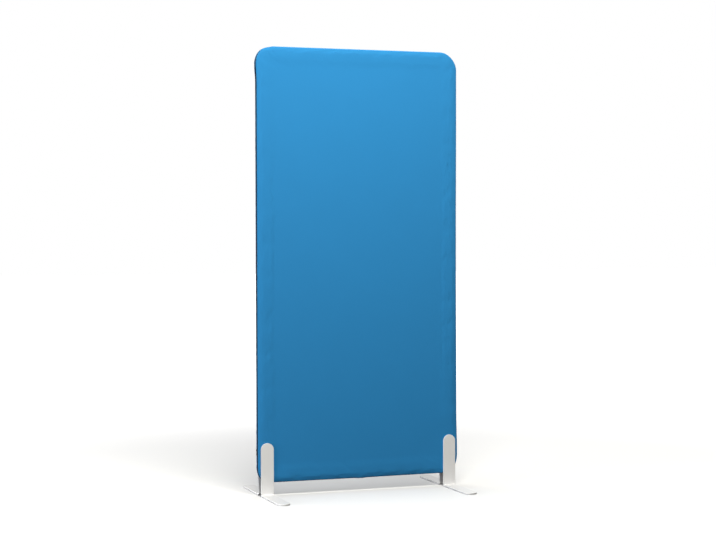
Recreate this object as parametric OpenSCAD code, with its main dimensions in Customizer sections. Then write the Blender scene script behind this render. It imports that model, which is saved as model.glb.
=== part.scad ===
// Acoustic divider screen: a padded fabric panel clamped between four bent steel foot brackets.
// All sizes are in millimetres. X runs along the screen, the front faces -Y, and Z is up.
// The origin lies on the floor below the middle of the panel.

/* [Screen] */
// Overall height, from the floor to the top of the panel
screen_h = 1700; // [1300:10:2000]
// Width of the padded panel
panel_w = 812; // [700:1:1400]
// Clear height between the floor and the panel
floor_gap = 52; // [40:1:90]
// Radius of the panel's outline corners
corner_r = 70; // [60:1:100]

/* [Frame] */
// Thickness of the timber frame
frame_t = 24; // [22:1:30]
// Width of the two upright stiles
stile_w = 60; // [50:1:80]
// Height of the three rails
rail_h = 60; // [50:1:80]
// Leg length of the blocks glued into the inside corners
block_leg = 80; // [60:1:120]
// Radius of the beech dowels that join rails to stiles
dowel_r = 5; // [4:0.5:6]
// Length of a dowel
dowel_len = 50; // [40:1:60]
// Distance between the two dowels of a joint
dowel_pitch = 24; // [20:1:28]

/* [Padding and cover] */
// Thickness of the wadding on each face
wadding_t = 4; // [3:0.5:6]
// Distance from the frame's edge to the outside of the cover
edge_pad = 6; // [5.8:0.1:8]
// Thickness of the cover fabric with its backing
cover_t = 1; // [0.6:0.1:1.2]
// Length over which the face rounds down towards the edge
crown_len = 24; // [18:1:30]
// Radius of the tight bend beside the zip
nose_r = 6; // [5:0.5:6.5]

// How far the cover's hem reaches in past the frame's face, beside the zip
cover_return = 4; // [3.5:0.5:5]

/* [Zip] */
// Thickness of the zip tape
tape_t = 0.8; // [0.6:0.1:1]
// Depth of the tape's margin sewn under the cover
tape_lap = 3; // [2:0.5:4]
// Width of the closed row of teeth
teeth_w = 6; // [5:0.5:6.5]
// Height of the teeth, across the tape
teeth_h = 2.4; // [2:0.1:2.6]
// Gap between the two rows, where the slider's post passes
teeth_gap = 1; // [0.9:0.1:1.4]
// Height above the panel's lower edge at which the zip ends, on the left side
zip_end = 113.6; // [90:0.1:170]
// Length of the box that starts the zip, under the panel
start_box_len = 20; // [14:1:26]
// Place of the start box's middle, to the right of the panel's middle
start_box_x = 6; // [-20:1:20]
// Height of the start box over the cover
start_box_h = 3; // [2:0.5:4]
// Length of the slider
slider_len = 13; // [11:0.5:16]
// Length of the puller's tab
puller_len = 16; // [12:0.5:22]

/* [Feet] */
// Width of the flat steel
foot_w = 50; // [40:1:60]
// Thickness of the flat steel
foot_t = 5; // [4:0.5:6]
// How far the uprights reach up the panel
foot_grip = 151; // [130:1:210]
// Reach of each tongue from the middle of the panel
foot_reach = 250; // [180:1:320]
// Distance from the side of the panel to the middle of a foot
foot_inset = 34; // [26:1:45]
// Inside radius of the bend
bend_r = 4; // [3:0.5:8]
// Thickness of the felt pads under the tongues
pad_t = 1.5; // [1:0.5:4]
// Radius of the felt pads
pad_r = 16; // [10:1:20]
// Radius of the screws' threaded shank
screw_r = 3; // [2.5:0.5:4]
// Length of the screws under the head
screw_len = 30; // [24:1:34]
// Wall of the sleeves that the screws turn into
sleeve_wall = 2; // [1.5:0.1:2.5]
// Distance from the upper screw, at the middle of the round end, down to the lower one
screw_pitch = 48; // [36:1:60]

/* [Hidden] */
// Overrun of every cut past the face it starts from
over = 1;
// Number of sides given to every round form, which stays a true circle
$fn = 64;

// Clearances
// Round a dowel in its hole
dowel_fit = 0.1;
// Past each end of a dowel, for the glue
dowel_end_fit = 1;
// Round a sleeve where it passes the frame and the padding
sleeve_fit = 0.3;
// Between a screw's thread and its sleeve
thread_fit = 0.05;
// Round a screw where it passes its bracket
hole_fit = 0.3;
// Between the infill boards and the frame
core_fit = 0.3;
// Between the slider's plates and the teeth, and between the slider and its stops
slider_fit = 0.2;
// Beside the teeth, in the slider's channel
slider_side_fit = 0.3;
// Between the slider and the floor and sides of its groove in the foam
groove_fit = 0.3;
// Between the start box and what lies round it
box_fit = 0.2;

// Panel
panel_t = frame_t + 2 * (wadding_t + cover_t);
panel_h = screen_h - floor_gap;
panel_mid_z = floor_gap + panel_h / 2;
run_x = panel_w / 2 - corner_r;
run_z = panel_h / 2 - corner_r;
face_y = panel_t / 2;

// Frame
frame_w = panel_w - 2 * edge_pad;
frame_h = panel_h - 2 * edge_pad;
frame_corner_r = corner_r - edge_pad;
rail_len = frame_w - 2 * stile_w;
rail_z = frame_h / 2 - rail_h / 2;
// Drop of the frame's rounded corner at the far end of the outer dowel, which moves the pair inwards
dowel_reach = dowel_len / 2 + dowel_end_fit;
corner_drop = frame_corner_r - sqrt(pow(frame_corner_r, 2) - pow(rail_len / 2 + dowel_reach - run_x, 2));
end_pair_z = rail_z - corner_drop / 2;
bay_h = (frame_h - 3 * rail_h) / 2;
bay_z = rail_h / 2 + bay_h / 2;
// Share of a block's leg that is cut off square at each end
blunt_share = 0.12;
block_blunt = block_leg * blunt_share;

// Rounding of the panel's edge: a long crown arc that runs into the tight nose arc
nose_x = corner_r - nose_r;
nose_y = frame_t / 2 - cover_return;
crown_x = corner_r - crown_len;
nose_drop = face_y - nose_y;
crown_r = (pow(crown_len - nose_r, 2) + pow(nose_drop, 2) - pow(nose_r, 2)) / (2 * (nose_drop - nose_r));
crown_y = face_y - crown_r;
join_a = asin((crown_len - nose_r) / (crown_r - nose_r));

// Zip, measured inwards from the outside of the cover
tape_out = cover_t;
tape_in = cover_t + tape_t;
teeth_out = cover_t + tape_t / 2 - teeth_h / 2;
teeth_in = teeth_out + teeth_h;
// Share of the row's half width that grips the tape
grip_share = 0.3;
tape_edge_y = teeth_w / 2 * (1 - grip_share);
lap_y = nose_y + tape_lap;
zip_end_z = floor_gap + zip_end;
zip_end_local = zip_end_z - panel_mid_z;
// Length of the end stops along the tape
stop_len = 3;
// Step of the stops past the slider's channel, on every side
stop_step = 0.6;
// Rounding of the start box's outer edges, as a share of its height
box_round_share = 2 / 3;
box_round = start_box_h * box_round_share;

// Slider
slider_plate = 1.2;
slider_wall = 1.2;
slider_flange = 0.8;
slider_post_t = 0.6;
slider_post_len = 4;
slider_nose = 3;
slider_tail = 1.5;
slider_notch = 2;
// Depth to which the post and the bridge are let into the plates
slider_sink = 0.3;
slider_z = zip_end_z + stop_len + slider_fit;
channel_out = teeth_out - slider_fit;
channel_in = teeth_in + slider_fit;
channel_y = teeth_w / 2 + slider_side_fit;
slider_y = channel_y + slider_wall;
groove_in = channel_in + slider_plate + groove_fit;
groove_y = slider_y + groove_fit;

// Bridge on the slider, and the puller that turns under it
bridge_len = 7;
bridge_t = 1.8;
bridge_wall = 1.2;
bridge_span = 1;
bridge_gap = 2;
puller_pin_r = 0.7;
puller_t = 1.2;
puller_w = 5.4;
puller_arm_w = 1.2;
puller_eye = 5.5;
puller_hole_r = 1.3;
pivot_z = slider_z + slider_len / 2 + slider_fit;
pivot_out = -channel_out + slider_plate + bridge_gap / 2;

// Feet
foot_x = panel_w / 2 - foot_inset;
foot_h = floor_gap + foot_grip;
foot_out_r = bend_r + foot_t;
foot_end_r = foot_w / 2;
screw_top_z = foot_h - foot_end_r;
sleeve_r = screw_r + thread_fit + sleeve_wall;
sleeve_web = 4;
head_r = 5.25;
head_h = 3.3;
hex_flats = 4;
hex_deep = 2;
pad_inner_y = face_y + foot_t + bend_r + pad_r;
pad_outer_y = foot_reach - foot_end_r;

// The panel lies in the local X-Y plane for modelling, and this stands it up with its front to -Y
module stand_up() {
    translate([0, 0, panel_mid_z]) rotate([90, 0, 0]) children();
}

// A panel layer of the rear half, made from the front one
module to_rear() {
    mirror([0, 1, 0]) children();
}

// One straight stretch of edge, from a to b along +Y, with its section's X pointing outwards along +X
module edge_run(out, a, b) {
    translate([out, b, 0]) rotate([90, 0, 0]) linear_extrude(b - a) children();
}

// One rounded corner of the edge
module edge_corner(x, y) {
    translate([x, y, 0]) rotate_extrude(angle = 90) children();
}

// The whole edge: four runs and four corners
module edge_loop() {
    for (turn = [0, 180]) rotate([0, 0, turn]) {
        edge_run(run_x, -run_z, run_z) children();
        edge_corner(run_x, run_z) children();
    }
    for (turn = [90, 270]) rotate([0, 0, turn]) {
        edge_run(run_z, -run_x, run_x) children();
        edge_corner(run_z, run_x) children();
    }
}

// The stretch of edge that opens: from the start box round the right side and the top to the left stops
module zip_run(left_end, start) {
    edge_run(run_x, -run_z, run_z) children();
    edge_corner(run_x, run_z) children();
    rotate([0, 0, 90]) edge_run(run_z, -run_x, run_x) children();
    rotate([0, 0, 90]) edge_corner(run_z, run_x) children();
    rotate([0, 0, 180]) edge_run(run_x, -run_z, -left_end) children();
    rotate([0, 0, 270]) edge_run(run_z, start, run_x) children();
    rotate([0, 0, 270]) edge_corner(run_z, run_x) children();
}

// The stretch of edge that stays sewn shut, round the lower left corner
module seam_run(left_end, start) {
    rotate([0, 0, 180]) edge_run(run_x, -left_end, run_z) children();
    rotate([0, 0, 180]) edge_corner(run_x, run_z) children();
    rotate([0, 0, 270]) edge_run(run_z, -run_x, start) children();
}

// Half section of the panel at its edge, from the corner's centre out, set in by a depth
module rim_section(depth) {
    out = corner_r - depth;
    side = [sin(join_a), cos(join_a)];
    nose = [nose_x, nose_y];
    cross_x = nose_x - nose_y * tan(join_a);
    square([crown_x, face_y - depth]);
    intersection() {
        translate([crown_x, crown_y]) circle(r = crown_r - depth, $fn = 360);
        polygon([[0, 0], [0, panel_t], [crown_x, panel_t], nose + side * panel_t, [cross_x, 0]]);
    }
    square([out, nose_y]);
    translate(nose) circle(r = nose_r - depth);
}

// A band of the section between two distances from the panel's middle plane
module between_y(low, high) {
    intersection() {
        children();
        translate([0, low]) square([corner_r + over, high - low]);
    }
}

module layer_section(outer, inner) {
    difference() {
        rim_section(outer);
        rim_section(inner);
    }
}

module cover_section() {
    between_y(nose_y, face_y + over) layer_section(0, cover_t);
}

module tape_section(low) {
    between_y(low, lap_y) intersection() {
        layer_section(tape_out, tape_in);
        translate([nose_x, 0]) square([corner_r, face_y]);
    }
}

module wadding_section() {
    between_y(frame_t / 2, face_y) rim_section(cover_t);
}

module foam_section() {
    difference() {
        between_y(0, frame_t / 2) rim_section(cover_t);
        square([frame_corner_r, face_y]);
        tape_section(0);
    }
}

module groove_section() {
    translate([corner_r - groove_in, 0]) square([groove_in + over, groove_y]);
}

module teeth_section() {
    difference() {
        translate([corner_r - teeth_in, teeth_gap / 2]) square([teeth_h, (teeth_w - teeth_gap) / 2]);
        tape_section(tape_edge_y);
    }
}

// A body and its mirror image behind the panel's middle plane
module both_halves() {
    children();
    mirror([0, 0, 1]) children();
}

// Outline of the timber frame
module frame_outline() {
    square([frame_w, frame_h - 2 * frame_corner_r], center = true);
    square([frame_w - 2 * frame_corner_r, frame_h], center = true);
    for (sx = [-1, 1], sy = [-1, 1])
        translate([sx * run_x, sy * run_z]) circle(r = frame_corner_r);
}

module frame_member(w, h, x, y) {
    difference() {
        linear_extrude(frame_t, center = true) intersection() {
            frame_outline();
            translate([x, y]) square([w, h], center = true);
        }
        dowel_set(dowel_r + dowel_fit, dowel_reach);
    }
}

// Every dowel, or every dowel hole: two at each end of each rail
module dowel_set(r, half_len) {
    for (sx = [-1, 1], y = [-end_pair_z, 0, end_pair_z], off = [-1, 1])
        translate([sx * rail_len / 2, y + off * dowel_pitch / 2, 0])
            rotate([0, 90, 0]) cylinder(r = r, h = 2 * half_len, center = true);
}

// Sleeves, screws or their holes: one shape at each fixing of a foot, in the upright frame of the object
module at_fixings(side) {
    for (z = [screw_top_z - screw_pitch, screw_top_z])
        translate([side * foot_x, 0, z]) children();
}

module fixing_holes(side, r) {
    at_fixings(side) rotate([90, 0, 0]) cylinder(r = r, h = panel_t + 2 * over, center = true);
}

module both_fixing_holes() {
    for (side = [-1, 1]) fixing_holes(side, sleeve_r + sleeve_fit);
}

module stile(side) {
    color("burlywood") difference() {
        stand_up() frame_member(stile_w, frame_h, side * (frame_w - stile_w) / 2, 0);
        both_fixing_holes();
    }
}

module rail(y) {
    color("burlywood") stand_up() frame_member(rail_len, rail_h, 0, y);
}

// Triangular block in an inside corner, with its long face cut back square to the legs
module corner_block(sx, sy) {
    inner = [rail_len / 2, frame_h / 2 - rail_h];
    color("tan") stand_up() scale([sx, sy, 1]) linear_extrude(frame_t, center = true)
        polygon([inner, inner - [block_leg, 0], inner - [block_leg, block_blunt],
            inner - [block_blunt, block_leg], inner - [0, block_leg]]);
}

// Infill board of one bay, cut off at the corners that hold a block
module core(side) {
    w = rail_len - 2 * core_fit;
    h = bay_h - 2 * core_fit;
    cut = block_leg + block_blunt + core_fit;
    color("lightgray") stand_up() translate([0, side * bay_z, 0]) scale([1, side, 1])
        linear_extrude(frame_t, center = true)
            polygon([[-w / 2, -h / 2], [w / 2, -h / 2], [w / 2, h / 2 - cut], [w / 2 - cut, h / 2],
                [cut - w / 2, h / 2], [-w / 2, h / 2 - cut]]);
}

module edge_foam_body() {
    color("whitesmoke") stand_up() difference() {
        both_halves() edge_loop() foam_section();
        both_halves() zip_run(zip_end_local, start_box_x - start_box_len / 2) groove_section();
    }
}

// A face layer: the flat sheet between the runs, and its rounded edge all round
module face_layer(t, depth) {
    translate([-run_x, -run_z, face_y - depth - t]) cube([2 * run_x, 2 * run_z, t]);
    edge_loop() children();
}

module wadding() {
    color("white") difference() {
        stand_up() face_layer(wadding_t, cover_t) wadding_section();
        both_fixing_holes();
    }
}

module cover() {
    color([0.19, 0.52, 0.74]) difference() {
        stand_up() face_layer(cover_t, 0) cover_section();
        both_fixing_holes();
    }
}

module zip_tape() {
    color("black") stand_up()
        zip_run(zip_end_local, start_box_x + start_box_len / 2) tape_section(tape_edge_y);
}

module zip_teeth() {
    color("dimgray") stand_up()
        zip_run(zip_end_local + stop_len, start_box_x + start_box_len / 2) teeth_section();
}

module sewn_tape() {
    color("black") stand_up() both_halves()
        seam_run(zip_end_local, start_box_x - start_box_len / 2) tape_section(0);
}

// Puts a part modelled on the right edge, with X outwards from the cover, onto the left edge at height z
module on_left_edge(z) {
    translate([0, 0, z]) rotate([0, 0, 180]) translate([panel_w / 2, 0, 0]) children();
}

module end_stops() {
    color("silver") on_left_edge(zip_end_z) for (side = [0, 1]) mirror([0, side, 0])
        linear_extrude(stop_len) difference() {
            translate([-channel_in - stop_step, teeth_gap / 2])
                square([channel_in - channel_out + 2 * stop_step, channel_y + stop_step - teeth_gap / 2]);
            translate([-corner_r, 0]) tape_section(tape_edge_y);
        }
}

// Moulded box that holds both ends of the zip, low in the groove and rounded outside
module start_box() {
    half_band = nose_y - box_fit;
    half_groove = groove_y - box_fit;
    len = start_box_len - 2 * box_fit;
    color("black") translate([start_box_x, 0, floor_gap]) rotate([0, 90, 0]) {
        translate([0, 0, -len / 2]) linear_extrude(len) {
            translate([-tape_out, -half_band]) square([tape_out + start_box_h - box_round, 2 * half_band]);
            translate([-tape_out, box_round - half_band])
                square([tape_out + start_box_h, 2 * (half_band - box_round)]);
            for (side = [-1, 1]) translate([start_box_h - box_round, side * (half_band - box_round)])
                circle(r = box_round);
            translate([-groove_in + groove_fit, -half_groove]) square([groove_in - groove_fit, 2 * half_groove]);
        }
    }
}

// Outline of the slider's plates, seen from outside: wide round shoulders below, a notch between the mouths
module slider_outline() {
    difference() {
        union() {
            translate([slider_nose - slider_y, 0]) square([2 * (slider_y - slider_nose), slider_len]);
            translate([-slider_y, slider_nose])
                square([2 * slider_y, slider_len - slider_nose - slider_tail]);
            translate([slider_tail - slider_y, slider_nose])
                square([2 * (slider_y - slider_tail), slider_len - slider_nose]);
            for (side = [-1, 1]) {
                translate([side * (slider_y - slider_nose), slider_nose]) circle(r = slider_nose);
                translate([side * (slider_y - slider_tail), slider_len - slider_tail]) circle(r = slider_tail);
            }
        }
        polygon([[-slider_notch / 2, -over], [slider_notch / 2, -over], [0, slider_notch]]);
    }
}

// Section across the slider: two plates with flanges that close round the teeth, open at the sides for the tape
module slider_section() {
    mid = (channel_in + channel_out) / 2;
    half = (channel_in - channel_out) / 2;
    difference() {
        translate([-mid - half - slider_plate, -slider_y]) square([2 * (half + slider_plate), 2 * slider_y]);
        translate([-mid - half, -channel_y]) square([2 * half, 2 * channel_y]);
        translate([-mid - half + slider_flange, -slider_y - over])
            square([2 * (half - slider_flange), 2 * (slider_y + over)]);
    }
}

// Arch over the puller's pin, along the slider's length
module slider_bridge() {
    bridge_h = bridge_gap + bridge_span;
    translate([-channel_out + slider_plate, bridge_t / 2, pivot_z - slider_z]) rotate([90, 0, 0])
        linear_extrude(bridge_t) difference() {
            union() {
                translate([-slider_sink, -bridge_len / 2])
                    square([bridge_h - bridge_span + slider_sink, bridge_len]);
                translate([0, bridge_span - bridge_len / 2])
                    square([bridge_h, bridge_len - 2 * bridge_span]);
                for (end = [-1, 1]) translate([bridge_h - bridge_span, end * (bridge_len / 2 - bridge_span)])
                    circle(r = bridge_span);
            }
            translate([0, bridge_wall - bridge_len / 2]) square([bridge_gap, bridge_len - 2 * bridge_wall]);
        }
}

module slider() {
    color("black") on_left_edge(slider_z) {
        intersection() {
            linear_extrude(slider_len) slider_section();
            translate([-corner_r, 0, 0]) rotate([90, 0, 90]) linear_extrude(2 * corner_r) slider_outline();
        }
        translate([-channel_in - slider_sink, -slider_post_t / 2, slider_notch + slider_fit])
            cube([channel_in - channel_out + 2 * slider_sink, slider_post_t, slider_post_len]);
        slider_bridge();
    }
}

// Flat tab that hangs from a pin under the slider's bridge
module puller() {
    arm_y = puller_w / 2 - puller_arm_w;
    round_z = puller_w / 2 - puller_eye - puller_len;
    color("black") on_left_edge(pivot_z) translate([pivot_out, 0, 0]) {
        rotate([90, 0, 0]) cylinder(r = puller_pin_r, h = puller_w, center = true);
        translate([-puller_t / 2, 0, 0]) rotate([90, 0, 90]) linear_extrude(puller_t) difference() {
            union() {
                translate([-puller_w / 2, round_z]) square([puller_w, -round_z]);
                translate([0, round_z]) circle(r = puller_w / 2);
            }
            translate([-arm_y, -puller_eye]) square([2 * arm_y, puller_eye + over]);
            translate([0, round_z]) circle(r = puller_hole_r);
        }
    }
}

// Flat steel with one round end, in the X-Y plane, reaching from a to b along +Y
module round_ended(a, b) {
    translate([-foot_w / 2, a]) square([foot_w, b - a - foot_end_r]);
    translate([0, b - foot_end_r]) circle(r = foot_end_r);
}

// Bent bracket behind the panel: upright against the cover, tongue on the floor reaching +Y
module rear_bracket(side) {
    bend_y = face_y + foot_out_r;
    bend_z = pad_t + foot_out_r;
    translate([side * foot_x, 0, 0]) {
        translate([0, face_y + foot_t, 0]) rotate([90, 0, 0]) linear_extrude(foot_t)
            round_ended(bend_z, foot_h);
        translate([0, 0, pad_t]) linear_extrude(foot_t) round_ended(bend_y, foot_reach);
        translate([-foot_w / 2, bend_y, bend_z]) rotate([90, 0, 90]) linear_extrude(foot_w)
            intersection() {
                difference() {
                    circle(r = foot_out_r);
                    circle(r = bend_r);
                }
                translate([-foot_out_r, -foot_out_r]) square(foot_out_r);
            }
    }
}

module front_foot(side) {
    color("white") mirror([0, 1, 0]) rear_bracket(side);
}

module rear_foot(side) {
    color("white") difference() {
        rear_bracket(side);
        at_fixings(side) translate([0, face_y + foot_t + over, 0])
            rotate([90, 0, 0]) cylinder(r = screw_r + hole_fit, h = foot_t + 2 * over);
    }
}

// Threaded sleeves, closed at the front where they are welded to the front bracket
module foot_sleeves(side) {
    color("silver") at_fixings(side) difference() {
        rotate([90, 0, 0]) cylinder(r = sleeve_r, h = panel_t, center = true);
        translate([0, face_y + over, 0]) rotate([90, 0, 0])
            cylinder(r = screw_r + thread_fit, h = panel_t + over - sleeve_web);
    }
}

// Button-head screw with a hexagon socket, driven from behind
module foot_screws(side) {
    dome_r = (pow(head_r, 2) + pow(head_h, 2)) / (2 * head_h);
    color("white") at_fixings(side) translate([0, face_y + foot_t, 0]) rotate([-90, 0, 0]) {
        translate([0, 0, -screw_len]) cylinder(r = screw_r, h = screw_len);
        difference() {
            intersection() {
                cylinder(r = head_r, h = head_h);
                translate([0, 0, head_h - dome_r]) sphere(r = dome_r);
            }
            translate([0, 0, head_h - hex_deep]) cylinder(d = hex_flats / cos(30), h = hex_deep + over, $fn = 6);
        }
    }
}

module left_stile() { stile(-1); }
module right_stile() { stile(1); }
module top_rail() { rail(rail_z); }
module middle_rail() { rail(0); }
module bottom_rail() { rail(-rail_z); }
module top_left_block() { corner_block(-1, 1); }
module top_right_block() { corner_block(1, 1); }
module bottom_left_block() { corner_block(-1, -1); }
module bottom_right_block() { corner_block(1, -1); }
module frame_dowels() { color("wheat") stand_up() dowel_set(dowel_r, dowel_len / 2); }
module upper_core() { core(1); }
module lower_core() { core(-1); }
module edge_foam() { edge_foam_body(); }
module front_wadding() { wadding(); }
module rear_wadding() { to_rear() wadding(); }
module front_cover() { cover(); }
module rear_cover() { to_rear() cover(); }
module front_zip_tape() { zip_tape(); }
module rear_zip_tape() { to_rear() zip_tape(); }
module front_zip_teeth() { zip_teeth(); }
module rear_zip_teeth() { to_rear() zip_teeth(); }
module closed_seam_tape() { sewn_tape(); }
module zip_start_box() { start_box(); }
module zip_end_stops() { end_stops(); }
module zip_slider() { slider(); }
module zip_puller() { puller(); }
module left_front_foot() { front_foot(-1); }
module left_rear_foot() { rear_foot(-1); }
module right_front_foot() { front_foot(1); }
module right_rear_foot() { rear_foot(1); }
module left_foot_sleeves() { foot_sleeves(-1); }
module right_foot_sleeves() { foot_sleeves(1); }
module left_foot_screws() { foot_screws(-1); }
module right_foot_screws() { foot_screws(1); }
module foot_pads() {
    color("gainsboro") for (side = [-1, 1], way = [-1, 1], y = [pad_inner_y, pad_outer_y])
        translate([side * foot_x, way * y, 0]) cylinder(r = pad_r, h = pad_t);
}

left_stile();
right_stile();
top_rail();
middle_rail();
bottom_rail();
top_left_block();
top_right_block();
bottom_left_block();
bottom_right_block();
frame_dowels();
upper_core();
lower_core();
edge_foam();
front_wadding();
rear_wadding();
front_cover();
rear_cover();
front_zip_tape();
rear_zip_tape();
front_zip_teeth();
rear_zip_teeth();
closed_seam_tape();
zip_start_box();
zip_end_stops();
zip_slider();
zip_puller();
left_front_foot();
left_rear_foot();
right_front_foot();
right_rear_foot();
left_foot_sleeves();
right_foot_sleeves();
left_foot_screws();
right_foot_screws();
foot_pads();
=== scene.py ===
"""Looks of the acoustic divider screen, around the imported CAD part.

Camera, finishes, studio, covers, zip, small pieces and feet, in that order."""

import math

import bmesh
import bpy
import numpy as np
from mathutils import Matrix, Vector


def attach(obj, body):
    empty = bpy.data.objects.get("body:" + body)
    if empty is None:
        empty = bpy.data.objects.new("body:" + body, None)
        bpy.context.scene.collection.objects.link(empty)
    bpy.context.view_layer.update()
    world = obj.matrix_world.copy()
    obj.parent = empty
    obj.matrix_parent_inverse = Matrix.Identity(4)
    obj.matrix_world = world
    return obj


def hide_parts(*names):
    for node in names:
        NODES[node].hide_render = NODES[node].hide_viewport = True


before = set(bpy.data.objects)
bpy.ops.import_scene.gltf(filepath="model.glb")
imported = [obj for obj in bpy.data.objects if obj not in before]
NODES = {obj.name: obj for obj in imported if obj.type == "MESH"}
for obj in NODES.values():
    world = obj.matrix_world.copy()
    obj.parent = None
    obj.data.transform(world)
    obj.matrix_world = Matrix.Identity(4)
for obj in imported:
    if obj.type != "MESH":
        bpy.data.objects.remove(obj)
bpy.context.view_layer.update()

# The part's own measures, in metres
MM = 0.001
PANEL_W = 812 * MM
FLOOR_GAP = 52 * MM
SCREEN_H = 1700 * MM
CORNER_R = 70 * MM
FACE_Y = 17 * MM
HEM_Y = 8 * MM
NOSE_R = 6 * MM
CROWN_LEN = 24 * MM
COVER_T = 1 * MM
TAPE_T = 0.8 * MM
ZIP_END_Z = 165.6 * MM
STOP_LEN = 3 * MM
START_X = 6 * MM
START_LEN = 20 * MM
BOX_START_X, BOX_END_X = START_X - START_LEN / 2, START_X + START_LEN / 2
FOOT_X = 372 * MM
FOOT_W = 50 * MM
FOOT_T = 5 * MM
FOOT_H = 203 * MM
FOOT_REACH = 250 * MM
BEND_R = 4 * MM
PAD_T = 1.5 * MM
SCREW_HOLE_R = 3.3 * MM
SCREW_Z = (130 * MM, 178 * MM)

PANEL_H = SCREEN_H - FLOOR_GAP
MID_Z = FLOOR_GAP + PANEL_H / 2
RUN_X = PANEL_W / 2 - CORNER_R
RUN_Z = PANEL_H / 2 - CORNER_R
NOSE_DROP = FACE_Y - HEM_Y
CROWN_R = ((CROWN_LEN - NOSE_R) ** 2 + NOSE_DROP ** 2 - NOSE_R ** 2) / (2 * (NOSE_DROP - NOSE_R))
JOIN = math.asin((CROWN_LEN - NOSE_R) / (CROWN_R - NOSE_R))


# Camera

def look(name, place, yaw, pitch, roll, lens):
    """A camera at a place, turned by yaw from straight back, pitch up and roll, in degrees."""
    yaw, pitch, roll = (math.radians(a) for a in (yaw, pitch, roll))
    right = Vector((math.cos(yaw), math.sin(yaw), 0))
    ahead = Vector((-math.sin(yaw) * math.cos(pitch), math.cos(yaw) * math.cos(pitch), math.sin(pitch)))
    down = ahead.cross(right)
    side = math.cos(roll) * right + math.sin(roll) * down
    up = math.sin(roll) * right - math.cos(roll) * down
    data = bpy.data.cameras.new(name)
    data.lens = lens
    data.clip_end = 60
    camera = bpy.data.objects.new(name, data)
    bpy.context.scene.collection.objects.link(camera)
    turn = Matrix((side, up, -ahead)).transposed().to_4x4()
    camera.matrix_world = Matrix.Translation(place) @ turn
    bpy.context.scene.camera = camera


look("photo_camera", (-2.1561, -6.0346, 1.0129), -19.667, -1.428, 0.136, 83.62)
bpy.context.scene.view_settings.view_transform = "Standard"


# Shader sums

class Term:
    """A shader value in a Python expression: each operator adds one Math node."""

    def __init__(self, finish, socket):
        self.finish = finish
        self.socket = socket

    def math(self, operation, *others):
        values = dict(enumerate((self, *others)))
        return self.finish.node("Math", {"operation": operation}, values)

    def flipped(self, operation, other):
        return self.finish.node("Math", {"operation": operation}, {0: other, 1: self})

    def __add__(self, other):
        return self.math("ADD", other)

    def __radd__(self, other):
        return self.flipped("ADD", other)

    def __sub__(self, other):
        return self.math("SUBTRACT", other)

    def __rsub__(self, other):
        return self.flipped("SUBTRACT", other)

    def __mul__(self, other):
        return self.math("MULTIPLY", other)

    def __rmul__(self, other):
        return self.flipped("MULTIPLY", other)

    def __pow__(self, other):
        return self.math("POWER", other)

    def __abs__(self):
        return self.math("ABSOLUTE")

    def sin(self):
        return self.math("SINE")

    def cos(self):
        return self.math("COSINE")

    def most(self, other):
        return self.math("MAXIMUM", other)


class Finish:
    """A material on one Principled shader. Constants go on the shader's own sockets."""

    def __init__(self, name, colour, roughness, **fixed):
        self.material = bpy.data.materials.new(name)
        self.material.use_nodes = True
        self.material.diffuse_color = (*colour, 1)
        self.tree = self.material.node_tree
        self.shader = self.tree.nodes["Principled BSDF"]
        self.colour = colour
        self.set("Base Color", (*colour, 1))
        self.set("Roughness", roughness)
        for socket, value in fixed.items():
            self.set(socket.replace("_", " "), value)

    def node(self, kind, settings=None, values=None, out=0):
        """Any node: its type, its settings, and the values or links of its sockets."""
        made = self.tree.nodes.new("ShaderNode" + kind)
        for key, value in (settings or {}).items():
            if key == "stops":
                ramp = made.color_ramp.elements
                while len(ramp) < len(value):
                    ramp.new(0.5)
                for element, (place, colour) in zip(ramp, value):
                    element.position = place
                    element.color = (*colour, 1)
            else:
                setattr(made, key, value)
        for key, value in (values or {}).items():
            self.put(made.inputs[key], value)
        return Term(self, made.outputs[out])

    def put(self, socket, value):
        if isinstance(value, Term):
            self.tree.links.new(value.socket, socket)
        else:
            socket.default_value = value

    def set(self, socket, value):
        self.put(self.shader.inputs[socket], value)

    def place(self, scale=(1, 1, 1), turn=(0, 0, 0)):
        """Object coordinates, turned and then scaled."""
        spot = self.node("TexCoord", out=3)
        return self.node("Mapping", {}, {"Vector": spot, "Rotation": turn, "Scale": scale})

    def cloth_map(self):
        """The piece's own UV map, which holds metres along the threads."""
        return self.node("TexCoord", out=2)

    def axes(self, spot):
        return [self.node("SeparateXYZ", {}, {0: spot}, out=k) for k in range(3)]

    def noise(self, spot, scale, detail=2, roughness=0.5):
        values = {"Vector": spot, "Scale": scale, "Detail": detail, "Roughness": roughness}
        return self.node("TexNoise", {}, values)

    def mix(self, factor, a, b):
        """A colour between a and b."""
        a, b = ((*c, 1) if isinstance(c, tuple) and len(c) == 3 else c for c in (a, b))
        return self.node("Mix", {"data_type": "RGBA"}, {0: factor, 6: a, 7: b}, out=2)

    def shade(self, factor, low, high):
        """The finish's own colour, times low to high as the factor goes from 0 to 1."""
        return self.mix(factor, tuple(c * low for c in self.colour), tuple(c * high for c in self.colour))

    def bump(self, height, distance, strength=1.0):
        values = {"Height": height, "Distance": distance, "Strength": strength}
        self.set("Normal", self.node("Bump", {}, values))


def woven(u, v, pitch):
    """Height of a plain weave, 0 to 1, whose threads lie a pitch apart."""
    a, b = (u * (math.pi / pitch)).cos(), (v * (math.pi / pitch)).cos()
    over = a * b * 0.5 + 0.5
    return abs(a) * over + abs(b) * (1 - over)


# Finishes

WEAVE_PITCH = 0.85 * MM
TWILL_PITCH = 1.1 * MM
RIB_PITCH = 1.3 * MM


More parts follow.
